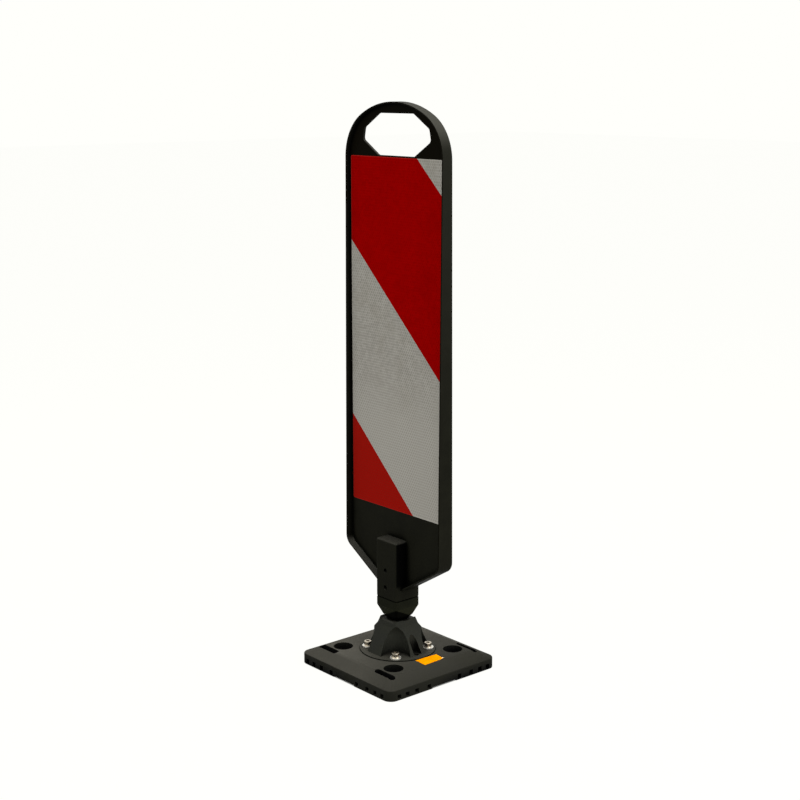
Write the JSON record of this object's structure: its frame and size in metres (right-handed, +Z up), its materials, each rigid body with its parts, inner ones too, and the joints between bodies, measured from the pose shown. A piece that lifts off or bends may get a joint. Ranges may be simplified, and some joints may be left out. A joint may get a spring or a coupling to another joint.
{
  "type": "traffic delineation panel",
  "caption": "Upright round-topped black board with a grip hole and red and white slanting stripes, on a self-righting hinge bolted to a low square foot plate.",
  "frame": {"origin": "on the ground under the middle of the foot plate", "axes": "+Z up along the board, +X to the right across the board seen from its front, and the front faces -Y"},
  "size_m": [0.25, 0.248, 0.988],
  "materials": {
    "plate_rubber": "coarse moulded recycled rubber, matt grey-black",
    "housing_plastic": "moulded dark grey plastic, fine grain",
    "board_plastic": "moulded black plastic, satin",
    "bright_steel": "bright stainless steel",
    "zinc_steel": "zinc plated steel, dull",
    "dark_steel": "black oxide steel",
    "bronze": "plain bearing bronze",
    "torsion_rubber": "black natural rubber",
    "red_film": "red retroreflective sheeting",
    "white_film": "silver-white retroreflective sheeting",
    "orange_film": "plain orange film"
  },
  "bodies": {
    "base": {"base_plate": "plate_rubber", "marker_film": "orange_film", "backing_plate": "zinc_steel", "foot_nuts": "zinc_steel", "foot_washers": "bright_steel", "foot_bolts": "bright_steel", "hinge_housing": "housing_plastic", "pivot_post": "dark_steel", "post_washer": "zinc_steel", "post_nut": "zinc_steel", "eye_bush": "bronze"},
    "board": {"hinge_pin": "bright_steel", "pin_cap": "board_plastic", "torsion_bushes": "torsion_rubber", "hinge_block": "board_plastic", "panel_board": "board_plastic", "socket_screws": "zinc_steel", "socket_nuts": "zinc_steel", "front_red_film": "red_film", "front_white_film": "white_film", "back_red_film": "red_film", "back_white_film": "white_film"}
  },
  "joints": [
    {"name": "board_tilt", "type": "hinge", "parent": "base", "child": "board", "pos_m": [0, 0, 0.1165], "axis": [-1, 0, 0], "range_deg": [-15, 80], "stiffness_Nm_per_rad": 20}
  ]
}
